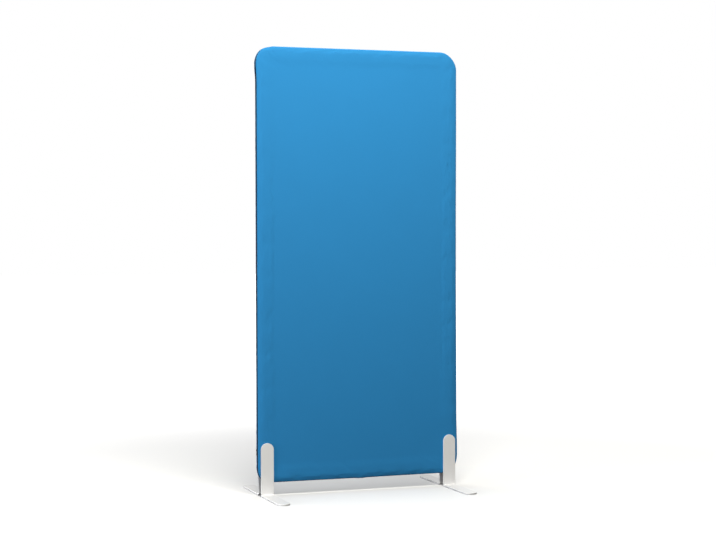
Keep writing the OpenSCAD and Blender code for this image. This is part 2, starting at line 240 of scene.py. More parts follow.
def cover_fabric():
    """Close plain weave of melange polyester yarn."""
    f = Finish("cover_fabric", (0.022, 0.217, 0.505), 0.86, Specular_IOR_Level=0.15, Sheen_Weight=0.34,
               Sheen_Roughness=0.3, Sheen_Tint=(1.0, 0.97, 0.9, 1))
    cloth = f.cloth_map()
    u, v, _ = f.axes(cloth)
    warp = f.noise(f.node("Mapping", {}, {"Vector": cloth, "Scale": (1400, 90, 1)}), 1.0, 2)
    weft = f.noise(f.node("Mapping", {}, {"Vector": cloth, "Scale": (90, 1400, 1)}), 1.0, 2)
    drift = f.noise(cloth, 7.0, 3)
    weave = woven(u, v, WEAVE_PITCH)
    tone = warp * 0.3 + weft * 0.3 + drift * 0.15 + weave * 0.25
    f.set("Base Color", f.shade(tone, 0.86, 1.14))
    f.set("Roughness", 0.92 - weave * 0.1)
    f.bump(weave + warp * 0.4 + weft * 0.4, 0.00022, 0.8)
    return f


def tape_weave():
    """Black zip tape: a fine twill with ribs along its edge."""
    f = Finish("zip_tape_weave", (0.010, 0.011, 0.014), 0.85, Specular_IOR_Level=0.16, Sheen_Weight=0.04)
    u, v, _ = f.axes(f.cloth_map())
    twill = ((u + v) * (2 * math.pi / TWILL_PITCH)).sin() * 0.5 + 0.5
    rib = (v * (2 * math.pi / RIB_PITCH)).sin() * 0.5 + 0.5
    fibre = f.noise(f.cloth_map(), 1500, 2)
    f.set("Base Color", f.shade(twill * 0.6 + fibre * 0.4, 0.7, 1.5))
    f.set("Roughness", 0.9 - twill * 0.12)
    f.bump(twill * 0.7 + rib * 0.3 + fibre * 0.3, 0.00018)
    return f


def moulded(name, colour, roughness, grain=900):
    """Moulded nylon with a fine eroded grain."""
    f = Finish(name, colour, roughness, Specular_IOR_Level=0.18)
    spot = f.place()
    speck = f.noise(spot, grain, 3)
    haze = f.noise(spot, 60, 2)
    f.set("Base Color", f.shade(haze, 0.8, 1.25))
    f.set("Roughness", speck * 0.16 + (roughness - 0.08))
    f.bump(speck, 0.00004)
    return f


def enamel():
    """Black enamel on die-cast zinc, rubbed brighter here and there."""
    f = Finish("black_enamel", (0.010, 0.010, 0.011), 0.4, Specular_IOR_Level=0.22)
    spot = f.place()
    speck = f.noise(spot, 700, 3)
    rub = f.noise(spot, 240, 4, 0.65)
    worn = f.node("ValToRGB", {"stops": [(0.63, (0, 0, 0)), (0.72, (1, 1, 1))]}, {0: rub})
    f.set("Base Color", f.mix(worn, f.shade(speck, 0.8, 1.3), (0.055, 0.053, 0.05)))
    f.set("Roughness", speck * 0.2 + 0.32)
    f.bump(speck, 0.00003)
    return f


def powder_coat():
    """White polyester powder coat with its orange peel."""
    f = Finish("powder_coat_white", (0.795, 0.80, 0.815), 0.42, Specular_IOR_Level=0.45, Coat_Weight=0.08,
               Coat_Roughness=0.25)
    spot = f.place()
    peel = f.noise(spot, 620, 2, 0.45)
    cloud = f.noise(spot, 9, 3)
    dust = f.noise(spot, 160, 4, 0.6)
    f.set("Base Color", f.mix(cloud * 0.5 + dust * 0.5, (0.77, 0.775, 0.79), (0.815, 0.82, 0.838)))
    f.set("Roughness", dust * 0.14 + 0.36)
    f.bump(peel, 0.00006, 0.7)
    return f


def zinc_steel():
    """Bright zinc plate on turned steel."""
    f = Finish("zinc_steel", (0.58, 0.57, 0.55), 0.34, Metallic=1.0)
    spot = f.place()
    brushed = f.noise(f.place((300, 4000, 300)), 1.0, 3)
    stain = f.noise(spot, 90, 3)
    f.set("Base Color", f.shade(stain, 0.85, 1.12))
    f.set("Roughness", brushed * 0.2 + 0.24)
    f.bump(brushed, 0.00002)
    return f


def timber():
    """Planed softwood: growth lines along the grain, pores and a darker late wood."""
    f = Finish("planed_softwood", (0.66, 0.49, 0.30), 0.62, Specular_IOR_Level=0.35)
    spot = f.place((26, 26, 1.6))
    waver = f.noise(spot, 1.2, 3)
    rings = f.node("TexWave", {"wave_type": "BANDS", "bands_direction": "X", "wave_profile": "SAW"},
                   {"Vector": spot, "Scale": 1.6, "Distortion": 5.5, "Detail": 3, "Detail Scale": 0.8}, out=1)
    pores = f.noise(f.place((900, 900, 24)), 1.0, 3)
    grain = rings * 0.6 + waver * 0.25 + pores * 0.15
    f.set("Base Color", f.mix(grain, (0.73, 0.57, 0.37), (0.55, 0.37, 0.20)))
    f.set("Roughness", pores * 0.22 + 0.5)
    f.bump(rings * 0.6 + pores * 0.6, 0.00015)
    return f


def beech():
    """Turned beech for the dowels."""
    f = Finish("beech", (0.70, 0.52, 0.34), 0.5, Specular_IOR_Level=0.4)
    fleck = f.noise(f.place((60, 1300, 1300)), 1.0, 2)
    f.set("Base Color", f.shade(fleck, 0.8, 1.12))
    f.set("Roughness", fleck * 0.2 + 0.4)
    f.bump(fleck, 0.0001)
    return f


def fibre_board():
    """Pressed absorbing board of short grey and white fibres."""
    f = Finish("fibre_board", (0.62, 0.62, 0.60), 0.95, Specular_IOR_Level=0.15)
    spot = f.place()
    strands = f.noise(f.place((260, 260, 900), (0.3, 0.2, 0.5)), 1.0, 4, 0.7)
    specks = f.node("TexVoronoi", {"feature": "F1"}, {"Vector": spot, "Scale": 420})
    f.set("Base Color", f.mix(strands * 0.75 + specks * 0.3, (0.50, 0.50, 0.49), (0.78, 0.78, 0.76)))
    f.set("Roughness", strands * 0.1 + 0.88)
    f.bump(strands + specks * 0.4, 0.0007)
    return f


def wadding():
    """Lofted polyester wadding."""
    f = Finish("white_wadding", (0.84, 0.84, 0.82), 0.95, Specular_IOR_Level=0.15, Sheen_Weight=0.3)
    tufts = f.noise(f.place(), 130, 4, 0.65)
    strands = f.noise(f.place((1200, 200, 300), (0.4, 0.1, 0.8)), 1.0, 3)
    f.set("Base Color", f.shade(tufts, 0.86, 1.04))
    f.set("Roughness", strands * 0.08 + 0.9)
    f.bump(tufts * 0.7 + strands * 0.5, 0.0012)
    return f


def foam():
    """Open-celled white foam strip, with painted shade darkening its cell hollows."""
    f = Finish("white_foam", (0.76, 0.76, 0.73), 0.93, Specular_IOR_Level=0.2)
    cells = f.node("TexVoronoi", {"feature": "DISTANCE_TO_EDGE"}, {"Vector": f.place(), "Scale": 900})
    # The colour is painted shade: darker towards the middle of each cell, where the bump sinks into a hollow.
    f.set("Base Color", f.shade(cells * 2.2, 1.08, 0.72))
    f.set("Roughness", cells * 0.1 + 0.88)
    f.bump(1 - cells, 0.0005)
    return f


def felt():
    """Needled wool felt."""
    f = Finish("grey_felt", (0.58, 0.58, 0.56), 0.96, Specular_IOR_Level=0.1, Sheen_Weight=0.25)
    hairs = f.noise(f.place((700, 1500, 900), (0.7, 0.3, 0.9)), 1.0, 5, 0.7)
    f.set("Base Color", f.shade(hairs, 0.75, 1.25))
    f.set("Roughness", hairs * 0.06 + 0.92)
    f.bump(hairs, 0.0004)
    return f


def thread():
    """Twisted sewing thread in the cover's blue."""
    f = Finish("blue_thread", (0.03, 0.20, 0.42), 0.6, Specular_IOR_Level=0.4)
    twist = f.node("TexWave", {"wave_type": "BANDS", "bands_direction": "DIAGONAL"},
                   {"Vector": f.place(), "Scale": 900, "Distortion": 1.0}, out=1)
    f.set("Base Color", f.shade(twist, 0.75, 1.2))
    f.set("Roughness", twist * 0.2 + 0.5)
    f.bump(twist, 0.00006)
    return f


COVER, TAPE, ENAMEL, POWDER = cover_fabric(), tape_weave(), enamel(), powder_coat()
TEETH = moulded("zip_teeth_nylon", (0.016, 0.016, 0.018), 0.42)
BOX = moulded("zip_box_nylon", (0.013, 0.013, 0.014), 0.5, 500)
STEEL, TIMBER, BEECH, BOARD = zinc_steel(), timber(), beech(), fibre_board()
WADDING, FOAM, FELT, THREAD = wadding(), foam(), felt(), thread()


def finish_piece(piece, finish):
    """Gives a piece, or a CAD node, its one finish."""
    piece.data.materials.clear()
    piece.data.materials.append(finish.material)


for finish, names in {
    TIMBER: ("left_stile", "right_stile", "top_rail", "middle_rail", "bottom_rail", "top_left_block",
             "top_right_block", "bottom_left_block", "bottom_right_block"),
    BEECH: ("frame_dowels",),
    BOARD: ("upper_core", "lower_core"),
    FOAM: ("edge_foam",),
    WADDING: ("front_wadding", "rear_wadding"),
    COVER: ("front_cover", "rear_cover"),
    TAPE: ("front_zip_tape", "rear_zip_tape", "closed_seam_tape"),
    TEETH: ("front_zip_teeth", "rear_zip_teeth"),
    BOX: ("zip_start_box",),
    ENAMEL: ("zip_slider", "zip_puller"),
    STEEL: ("zip_end_stops", "left_foot_sleeves", "right_foot_sleeves"),
    POWDER: ("left_front_foot", "left_rear_foot", "right_front_foot", "right_rear_foot", "left_foot_screws",
             "right_foot_screws"),
    FELT: ("foot_pads",),
}.items():
    for name in names:
        finish_piece(NODES[name], finish)


# Studio

ROUND_LIGHT = 0.13
FLOOR_SIZE = 60
FLOOR_FAR = 6.0
# The light that the floor adds for the camera, by its distance from the panel as a share of FLOOR_FAR
FLOOR_LIFT = [(0.0, 0.08), (0.1, 0.22), (0.25, 0.41), (0.45, 0.82), (0.8, 1.2)]


def stage_floor():
    """A pale floor that shows white to the camera and keeps the object's shadow."""
    bpy.ops.object.select_all(action="DESELECT")
    bpy.ops.mesh.primitive_plane_add(size=FLOOR_SIZE, location=(0, 0, 0))
    floor = bpy.context.object
    floor.name = "studio_floor"
    f = Finish("studio_floor", (0.09, 0.09, 0.09), 0.9, Specular_IOR_Level=0.1)
    paper = f.noise(f.place(), 3, 3)
    f.set("Base Color", f.shade(paper, 0.995, 1.005))
    x, y, _ = f.axes(f.place())
    aside = (abs(x) - PANEL_W / 2).most(0)
    away = (aside * aside + y * y) ** 0.5
    stops = [(share, (grey,) * 3) for share, grey in FLOOR_LIFT]
    paler = f.node("ValToRGB", {"stops": stops}, {0: away * (1 / FLOOR_FAR)})
    matte = f.node("BsdfDiffuse", {}, {"Color": (0.79, 0.80, 0.825, 1)})
    lift = f.node("Emission", {}, {"Color": paler, "Strength": 1.0})
    shown = f.node("AddShader", {}, {0: matte, 1: lift})
    ray = f.node("LightPath")
    seen = f.node("MixShader", {}, {0: ray, 1: Term(f, f.shader.outputs[0]), 2: shown})
    f.tree.links.new(seen.socket, f.tree.nodes["Material Output"].inputs["Surface"])
    finish_piece(floor, f)


def studio_world():
    """White round light. Camera, glossy and transmitted rays see a plain white studio."""
    world = bpy.data.worlds.new("studio")
    bpy.context.scene.world = world
    world.use_nodes = True
    tree = world.node_tree
    light, white = tree.nodes["Background"], tree.nodes.new("ShaderNodeBackground")
    for background, strength in ((light, ROUND_LIGHT), (white, 1.0)):
        background.inputs["Color"].default_value = (1, 1, 1, 1)
        background.inputs["Strength"].default_value = strength
    ray = tree.nodes.new("ShaderNodeLightPath")
    seen = ray.outputs["Is Camera Ray"]
    for kind in ("Is Glossy Ray", "Is Transmission Ray"):
        either = tree.nodes.new("ShaderNodeMath")
        either.operation = "MAXIMUM"
        tree.links.new(seen, either.inputs[0])
        tree.links.new(ray.outputs[kind], either.inputs[1])
        seen = either.outputs[0]
    mixed = tree.nodes.new("ShaderNodeMixShader")
    for socket, source in zip(mixed.inputs, (seen, light.outputs[0], white.outputs[0])):
        tree.links.new(source, socket)
    tree.links.new(mixed.outputs[0], tree.nodes["World Output"].inputs["Surface"])


def softbox(name, place, aim, size, power, colour=(1, 1, 1), spread=180):
    """A soft lamp that no camera ray shows. A small spread, in degrees, is a grid in front of it."""
    data = bpy.data.lights.new(name, "AREA")
    data.shape = "RECTANGLE"
    data.size, data.size_y = size
    data.energy = power
    data.color = colour
    data.spread = math.radians(spread)
    lamp = bpy.data.objects.new(name, data)
    lamp.visible_camera = False
    lamp.location = place
    lamp.rotation_euler = (Vector(aim) - Vector(place)).to_track_quat("-Z", "Y").to_euler()
    bpy.context.scene.collection.objects.link(lamp)


stage_floor()
studio_world()
softbox("front_softbox", (-0.25, -2.1, 3.1), (0, 0, 0.7), (1.6, 0.7), 120, (1.0, 0.965, 0.87))
softbox("top_softbox", (0, 0.06, 3.2), (0, 0, 1.0), (1.8, 0.34), 13, (1.0, 0.98, 0.9))
softbox("back_softbox", (0, 0.75, 3.1), (0, 0.2, 0.2), (1.8, 0.4), 32, (1.0, 0.98, 0.92))
softbox("side_softbox", (-3.2, -0.75, 0.4), (0, 0, 0.15), (0.9, 0.5), 42)
softbox("low_grid", (-3.2, -0.3, 0.1), (-0.4, 0, -0.15), (0.9, 0.05), 1.3, spread=10)


# Modelling by hand

# How near counts as none, as one place and as on a line, in metres
TINY, MERGE, NEAR = 1e-9, 1e-6, 1e-5


def deselect():
    """Leaves edit mode with nothing selected."""
    if bpy.context.object and bpy.context.object.mode != "OBJECT":
        bpy.ops.object.mode_set(mode="OBJECT")
    bpy.ops.object.select_all(action="DESELECT")


def select_only(piece):
    """Leaves edit mode with one piece selected and active."""
    deselect()
    piece.select_set(True)
    bpy.context.view_layer.objects.active = piece


def work_on(piece):
    """Makes a piece the only one selected, in edit mode."""
    select_only(piece)
    bpy.ops.object.mode_set(mode="EDIT")


def pick(piece, kind, test):
    """Selects the vertices, edges or faces of a piece in edit mode that pass a test, and returns how many."""
    mesh = bmesh.from_edit_mesh(piece.data)
    bpy.ops.mesh.select_mode(type=kind)
    for part in (*mesh.verts, *mesh.edges, *mesh.faces):
        part.select = False
    found = [e for e in {"VERT": mesh.verts, "EDGE": mesh.edges, "FACE": mesh.faces}[kind] if test(e)]
    for part in found:
        part.select_set(True)
    mesh.select_flush_mode()
    bmesh.update_edit_mesh(piece.data)
    return len(found)


def face_outwards(piece, height):
    """Makes the normals of a piece in edit mode consistent, and turns them so that its highest face looks up.

    The height of a vector says which way is up."""
    bpy.ops.mesh.select_all(action="SELECT")
    bpy.ops.mesh.normals_make_consistent(inside=False)
    mesh = bmesh.from_edit_mesh(piece.data)
    face = max(mesh.faces, key=lambda f: height(f.calc_center_median()))
    if height(face.normal) < 0:
        bpy.ops.mesh.flip_normals()


def middle(edge):
    return (edge.verts[0].co + edge.verts[1].co) / 2


def apply_modifier(piece, kind, **settings):
    select_only(piece)
    modifier = piece.modifiers.new(kind.title(), kind)
    for key, value in settings.items():
        setattr(modifier, key, value)
    bpy.ops.object.modifier_apply(modifier=modifier.name)


def plate(name, width, height, place, turn):
    """Starts a piece from a flat rectangle, with its place in its mesh."""
    deselect()
    bpy.ops.mesh.primitive_plane_add(size=1, location=place, rotation=turn)
    piece = bpy.context.object
    piece.name = piece.data.name = name
    piece.scale = (width, height, 1)
    bpy.ops.object.transform_apply(location=True, rotation=True, scale=True)
    return piece


def smooth(piece, angle=None):
    """Shades a piece smooth, or only its edges below an angle in degrees."""
    select_only(piece)
    if angle is None:
        bpy.ops.object.shade_smooth()
    else:
        bpy.ops.object.shade_smooth_by_angle(angle=math.radians(angle))


def smooth_machined(piece, angle):
    """Smooths the eased edges and keeps the flat faces evenly shaded."""
    smooth(piece, angle)
    apply_modifier(piece, "WEIGHTED_NORMAL", keep_sharp=True, weight=80)


def add_piece(piece, finish, slot, body, *stands_for):
    """Finishes a piece and puts it in the part."""
    finish_piece(piece, finish)
    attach(piece, body)
    if stands_for:
        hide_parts(*stands_for)


# Covers

CORNER_CUTS = 16
NOSE_CUTS = CROWN_CUTS = 6
STEP = 10.2 * MM
CLOTH_T = 0.9 * MM


def outline(name, depth, y):
    """The panel's outline as a loop of edges, set in by a depth, at a distance y from the middle plane."""
    turn = (math.pi / 2 if y < 0 else -math.pi / 2, 0, 0)
    piece = plate(name, PANEL_W - 2 * depth, PANEL_H - 2 * depth, (0, y, MID_Z), turn)
    work_on(piece)
    bpy.ops.mesh.select_all(action="SELECT")
    bpy.ops.mesh.bevel(offset=CORNER_R - depth, offset_type="OFFSET", segments=CORNER_CUTS, affect="VERTICES")
    bpy.ops.mesh.select_all(action="SELECT")
    bpy.ops.mesh.delete(type="ONLY_FACE")
    for span in (2 * RUN_X, 2 * RUN_Z):
        pick(piece, "EDGE", lambda e: abs(e.calc_length() - span) < MM)
        bpy.ops.mesh.subdivide(number_cuts=2 * round(span / STEP / 2) - 1)
    return piece


def rim_steps():
    """Steps in and out along the cover's section, from the hem over the tight nose and along the crown."""
    points = []
    for k in range(NOSE_CUTS + 1):
        a = (math.pi / 2 - JOIN) * k / NOSE_CUTS
        points.append((CORNER_R - NOSE_R + NOSE_R * math.cos(a), HEM_Y + NOSE_R * math.sin(a)))
    for k in range(1, CROWN_CUTS + 1):
        a = JOIN * (1 - k / CROWN_CUTS)
        across, up = CROWN_R * math.sin(a), CROWN_R * math.cos(a)
        points.append((CORNER_R - CROWN_LEN + across, FACE_Y - CROWN_R + up))
    return [(a[0] - b[0], b[1] - a[1]) for a, b in zip(points, points[1:])]


def cover_shell(name, side):
    """One cover: the outline at the hem, inset ring by ring along the rim, and a grid over the face."""
    piece = outline(name, 0, side * HEM_Y)
    bpy.ops.mesh.select_all(action="SELECT")
    bpy.ops.mesh.edge_face_add()
    mesh = bmesh.from_edit_mesh(piece.data)
    mesh.faces.ensure_lookup_table()
    if mesh.faces[0].normal.y * side < 0:
        bpy.ops.mesh.flip_normals()
    for inward, up in rim_steps():
        bpy.ops.mesh.inset(thickness=inward, depth=up, use_boundary=True, use_even_offset=True)
    bpy.ops.mesh.delete(type="ONLY_FACE")
    rim = CORNER_R - CROWN_LEN
    pick(piece, "EDGE", lambda e: e.is_boundary and abs(middle(e).y) > FACE_Y - MM)
    mesh = bmesh.from_edit_mesh(piece.data)
    corner = Vector((RUN_X + rim / math.sqrt(2), side * FACE_Y, MID_Z + RUN_Z + rim / math.sqrt(2)))
    start = min((v for v in mesh.verts if v.select), key=lambda v: (v.co - corner).length)
    mesh.select_history.clear()
    mesh.select_history.add(start)
    columns = 2 * round(2 * RUN_X / STEP / 2) + CORNER_CUTS
    bpy.ops.mesh.fill_grid(span=columns, offset=0)
    face_outwards(piece, lambda v: v.y * side)
    deselect()
    return piece


def hump(t):
    """Rises from 0 to 1 and stays there, smoothly, as t goes from 0 to 1."""
    t = np.clip(t, 0, 1)
    return t * t * (3 - 2 * t)


def bell(t):
    """1 at 0, and less and less to both sides."""
    return np.exp(-t ** 2)


# How far the real rim lies outside its drawn outline, in mm: in the corners, on the sides and at the bottom
LOW_LEFT_OUT, TOP_LEFT_OUT, LOW_RIGHT_OUT, TOP_RIGHT_OUT = 8.5, 5.4, 4.0, -1.6
LEFT_BELLY, SWELL_UP, SWELL_DOWN, SWELL_AT_FOOT = 3.2, 1.6, 1.3, 2.6
SAG, SAG_AT_BOX = 0.9, 2.0
# The edge stays straight so far from its middle, and gives way fully a fade further, in mm
STRAIGHT_HALF, STRAIGHT_FADE = 4.7, 3


def settle(co):
    """Moves the panel's rim to its real, slightly uneven outline: fuller corners and sides, a little sag.

    The middle of the edge stays straight where the slider and the start box sit. Places and widths are in
    metres, angles in radians from the horizontal."""
    x, z = co[:, 0], co[:, 2] - MID_Z
    qx, qz = np.maximum(np.abs(x) - RUN_X, 0), np.maximum(np.abs(z) - RUN_Z, 0)
    far = np.hypot(qx, qz)
    rim = far > MERGE
    angle = np.arctan2(qz, qx)
    bow = np.sin(2 * angle)
    left, low = x < 0, z < 0
    in_corner = (qx > 0) * (qz > 0)
    edge = hump((far - 0.2 * CORNER_R) / (0.8 * CORNER_R))
    beside_slider = hump((np.abs(co[:, 1]) / MM - STRAIGHT_HALF) / STRAIGHT_FADE)
    free = np.maximum(beside_slider, hump(angle / 0.44) * in_corner)
    top_left = TOP_LEFT_OUT * bow ** 1.2 * (1 - hump((angle - 0.87) / 0.52))
    right_corners = np.where(low, LOW_RIGHT_OUT, TOP_RIGHT_OUT) * bow ** 2
    out = np.where(left & low, LOW_LEFT_OUT * bow ** 2, np.where(left, top_left, right_corners))
    belly = LEFT_BELLY * bell((z - RUN_Z + 0.006) / 0.032)
    swell = SWELL_UP * hump((z - 0.1) / 0.5) + SWELL_DOWN * hump(-z / 0.5)
    swell += SWELL_AT_FOOT * bell((z + RUN_Z - 0.02) / 0.085)
    out += np.where(left, belly * free, swell) * np.cos(angle) * rim
    sag = SAG * bell((x + 0.05) / 0.22) + SAG_AT_BOX * bell((x - START_X) / 0.014)
    out += np.where(low & (np.abs(x) < RUN_X), sag * free, 0)
    away = np.stack([np.sign(x) * qx, np.zeros_like(x), np.sign(z) * qz], 1) / np.where(rim, far, 1)[:, None]
    return co + away * (out * MM * edge * rim)[:, None]


def cloth_coordinates(co):
    """Flat metres along a cover's threads: the face as it lies, the rim by the length over its section."""
    x, y, z = co[:, 0], np.abs(co[:, 1]), co[:, 2] - MID_Z
    qx, qz = np.maximum(np.abs(x) - RUN_X, 0), np.maximum(np.abs(z) - RUN_Z, 0)
    far = np.hypot(qx, qz)
    crown_start = CORNER_R - CROWN_LEN
    crown_a = np.arcsin(np.clip((far - crown_start) / CROWN_R, 0, math.sin(JOIN)))
    nose_a = np.clip(np.arctan2(far - (CORNER_R - NOSE_R), y - HEM_Y) - JOIN, 0, math.pi)
    on_nose = far > crown_start + CROWN_R * math.sin(JOIN) + MERGE
    run = CROWN_R * crown_a + np.where(on_nose, NOSE_R * nose_a, 0)
    flat = np.where(far > crown_start, crown_start + run, far)
    beyond = far > TINY
    grow = flat / np.where(beyond, far, 1)
    u = np.where(beyond, np.sign(x) * (np.minimum(np.abs(x), RUN_X) + qx * grow), x)
    v = np.where(beyond, np.sign(z) * (np.minimum(np.abs(z), RUN_Z) + qz * grow), z)
    return np.stack([u, v], 1)


def vertices(piece):
    co = np.zeros(len(piece.data.vertices) * 3)
    piece.data.vertices.foreach_get("co", co)
    return co.reshape(-1, 3)


def move_vertices(piece, co):
    piece.data.vertices.foreach_set("co", co.ravel())
    piece.data.update()


def lay_map(piece, flat):
    """Writes one flat place per vertex to the piece's UV map."""
    layer = piece.data.uv_layers[0] if piece.data.uv_layers else piece.data.uv_layers.new(name="UVMap")
    corners = np.zeros(len(piece.data.loops), int)
    piece.data.loops.foreach_get("vertex_index", corners)
    layer.data.foreach_set("uv", flat[corners].ravel())


CLOTH_FRAMES = 20
HEM_HELD = 0.5 * MM
FACE_HELD = 0.15 * CORNER_R
PRESSED_BESIDE = 4 * MM
MOST_PUFF = 1.4 * MM


def drape(piece):
    """Lets the rim of a cover puff over its padding: a cloth simulation under light pressure.

    The hem is sewn, the face lies stretched on the board and the brackets press the cloth flat. The rest
    keeps a capped part of its way outwards."""
    start = vertices(piece)
    x, z = start[:, 0], start[:, 2] - MID_Z
    far = np.hypot(np.maximum(np.abs(x) - RUN_X, 0), np.maximum(np.abs(z) - RUN_Z, 0))
    outwards = np.zeros(start.size)
    piece.data.vertex_normals.foreach_get("vector", outwards)
    outwards = outwards.reshape(-1, 3)
    beside = np.abs(x) - FOOT_X
    pressed = (beside > -FOOT_W / 2 - STEP) & (beside < FOOT_W / 2 + PRESSED_BESIDE)
    pressed &= start[:, 2] < FOOT_H + STEP
    held = (np.abs(start[:, 1]) < HEM_Y + HEM_HELD) | (far < FACE_HELD) | pressed
    group = piece.vertex_groups.new(name="held")
    group.add([int(k) for k in np.flatnonzero(held)], 1.0, "REPLACE")
    select_only(piece)
    cloth = piece.modifiers.new("Cloth", "CLOTH")
    settings = cloth.settings
    settings.quality = 5
    settings.mass = 0.3
    settings.tension_stiffness = settings.compression_stiffness = 20
    settings.shear_stiffness = 8
    settings.bending_stiffness = 0.3
    settings.vertex_group_mass = "held"
    settings.shrink_min = -0.012
    settings.use_pressure = True
    settings.uniform_pressure_force = 4
    settings.effector_weights.gravity = 0
    cloth.point_cache.frame_start, cloth.point_cache.frame_end = 1, CLOTH_FRAMES
    for k in range(1, CLOTH_FRAMES + 1):
        bpy.context.scene.frame_set(k)
    bpy.ops.object.modifier_apply(modifier=cloth.name)
    bpy.context.scene.frame_set(1)
    piece.vertex_groups.clear()
    moved = vertices(piece) - start
    rise = np.maximum((moved * outwards).sum(1), 0)
    move_vertices(piece, start + outwards * (MOST_PUFF * np.tanh(rise / MOST_PUFF))[:, None])


def make_cover(name, side, node):
    """A cover whose rim is settled and draped, and given the cloth's thickness."""
    piece = cover_shell(name, side)
    lay_map(piece, cloth_coordinates(vertices(piece)))
    move_vertices(piece, settle(vertices(piece)))
    drape(piece)
    apply_modifier(piece, "SOLIDIFY", thickness=CLOTH_T, offset=-1.0, use_even_offset=True)
    smooth(piece)
    add_piece(piece, COVER, "cover", "screen", node)


make_cover("front_fabric_cover", -1, "front_cover")
make_cover("rear_fabric_cover", 1, "rear_cover")


# Round the edge

def edge_place(run):
    """Points, tangents and outward normals on the panel's outline.

    The run is measured from the middle of the bottom edge, to the right and up round the panel."""
    arc = CORNER_R * math.pi / 2
    stretches = [
        (RUN_X, (0, -1), None), (arc, (1, -1), -90),
        (2 * RUN_Z, (1, 0), None), (arc, (1, 1), 0),
        (2 * RUN_X, (0, 1), None), (arc, (-1, 1), 90),
        (2 * RUN_Z, (-1, 0), None), (arc, (-1, -1), 180),
        (RUN_X, (0, -1), None),
    ]
    run = np.asarray(run, float)
    point, ahead, out = (np.zeros((len(run), 3)) for _ in range(3))
    start = 0.0
    for k, (length, (sx, sz), turn) in enumerate(stretches):
        here = (run >= start - TINY) & (run <= start + length + TINY)
        gone = run[here] - start
        if turn is None:
            normal = np.array([sx, 0, sz], float)
            along = np.array([-sz, 0, sx], float)
            if sx:
                first = np.array([sx * PANEL_W / 2, 0, -sx * RUN_Z])
            else:
                left = 0 if k == 0 else (RUN_X if sz > 0 else -RUN_X)
                first = np.array([left, 0, sz * PANEL_H / 2])
            point[here] = first + along * gone[:, None]
            ahead[here], out[here] = along, normal
        else:
            a = math.radians(turn) + gone / CORNER_R
            normal = np.stack([np.cos(a), 0 * a, np.sin(a)], 1)
            point[here] = np.array([sx * RUN_X, 0, sz * RUN_Z]) + CORNER_R * normal
            ahead[here], out[here] = np.stack([-np.sin(a), 0 * a, np.cos(a)], 1), normal
        start += length
    point[:, 2] += MID_Z
    return point, ahead, out


def edge_total(depth=0.0):
    """The length of the outline a depth inside the panel's own."""
    return 4 * RUN_X + 4 * RUN_Z + 2 * math.pi * (CORNER_R - depth)


def edge_run(co, depth=0.0):
    """How far round the outline each point lies, as edge_place measures it.

    The outline can be one that lies a depth inside the panel's own."""
    x, z = co[:, 0], co[:, 2] - MID_Z
    r = CORNER_R - depth
    arc = r * math.pi / 2
    qx, qz = np.maximum(np.abs(x) - RUN_X, 0), np.maximum(np.abs(z) - RUN_Z, 0)
    turned = r * np.arctan2(qz, np.maximum(qx, TINY))
    upright, flat = np.abs(z) <= RUN_Z, np.abs(x) <= RUN_X
    right_start = RUN_X + arc
    right_corners = np.where(z < 0, right_start - turned, right_start + 2 * RUN_Z + turned)
    right = np.where(upright, right_start + (z + RUN_Z), right_corners)
    top_start = right_start + 2 * RUN_Z + arc
    left_start = top_start + 2 * RUN_X + arc
    left_corners = np.where(z > 0, left_start - turned, left_start + 2 * RUN_Z + turned)
    left = np.where(upright, left_start + (RUN_Z - z), left_corners)
    run = np.where(x > 0, right, left)
    run = np.where(flat & (z > 0), top_start + RUN_X - x, run)
    return np.where(flat & (z < 0), np.where(x >= 0, x, edge_total(depth) + x), run)


def row_of(name, pattern, run, y, tilt, side):
    """Copies a small modelled piece along the edge, at a distance y to one side of its middle.

    The piece's X runs along the edge and its Z outwards, tilted by an angle."""
    shape = vertices(pattern)
    faces = [tuple(p.vertices) for p in pattern.data.polygons]
    if side < 0:
        faces = [f[::-1] for f in faces]
    point, ahead, out = edge_place(run)
    point[:, 1] = side * y
    point = settle(point)
    back = np.array([0, side, 0.0])
    up = out * math.cos(tilt) + back * math.sin(tilt)
    across = back * math.cos(tilt) - out * math.sin(tilt)
    co = (point[:, None] + ahead[:, None] * shape[None, :, :1] + across[:, None] * shape[None, :, 1:2]
          + up[:, None] * shape[None, :, 2:])
    count = len(shape)
    mesh = bpy.data.meshes.new(name)
    all_faces = [[v + k * count for v in f] for k in range(len(run)) for f in faces]
    mesh.from_pydata(co.reshape(-1, 3), [], all_faces)
    piece = bpy.data.objects.new(name, mesh)
    bpy.context.scene.collection.objects.link(piece)
    bpy.data.objects.remove(pattern)
    return piece


def box_start(name, size, place):
    """Starts a small piece from a box at its size and place, in edit mode with nothing selected."""
    deselect()
    bpy.ops.mesh.primitive_cube_add(size=1, location=place)
    piece = bpy.context.object
    piece.name = name
    piece.scale = size
    bpy.ops.object.transform_apply(location=True, rotation=True, scale=True)
    work_on(piece)
    return piece


TOOTH_SIZE = (1.35 * MM, 1.5 * MM, 2.4 * MM)
TOOTH_PLACE = (0, 2.25 * MM, -1.4 * MM)
# Neck and head: each step's length in mm, and how much the section then grows along the edge and outwards
TOOTH_STEPS = ((0.12, 0.58, 0.8), (0.42, 1.0, 1.0), (0.16, 1.75, 1.12), (0.30, 1.0, 1.0), (0.15, 0.66, 0.8))


